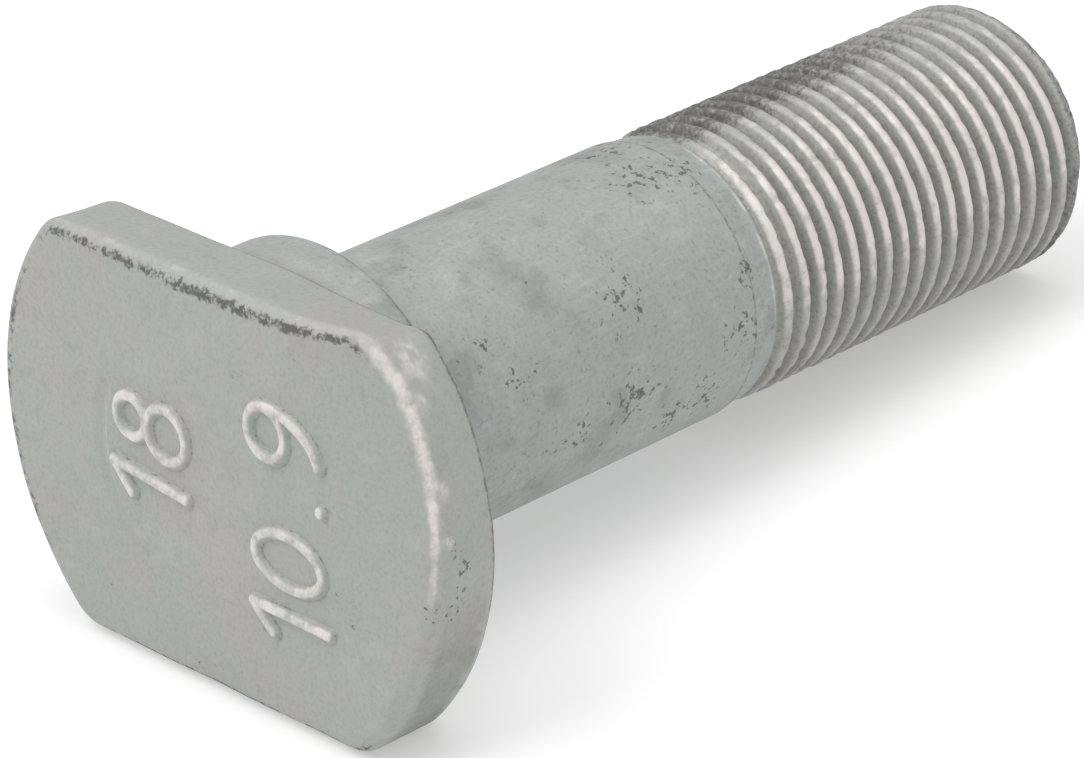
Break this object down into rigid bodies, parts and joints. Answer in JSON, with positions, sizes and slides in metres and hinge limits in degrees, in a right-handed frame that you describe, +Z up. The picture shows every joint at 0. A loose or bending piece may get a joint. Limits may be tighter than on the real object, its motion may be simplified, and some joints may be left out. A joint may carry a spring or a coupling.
{
  "type": "ring gear bolt",
  "caption": "Forged ring gear bolt with a round head cut flat above and below, a collar under the head, a plain fitted shank and a fine thread at the tip, lying on its side.",
  "frame": {"origin": "on the ground, below the middle of the bolt's length as it lies", "axes": "+Z up, +X along the ground from the head towards the tip, +Y along the flats of the head"},
  "size_m": [0.069, 0.0364, 0.0266],
  "materials": {
    "zinc_coated_steel": "matte pale grey zinc coat over forged and rolled steel"
  },
  "bodies": {
    "root": {"ring_gear_bolt": "zinc_coated_steel"}
  },
  "joints": []
}
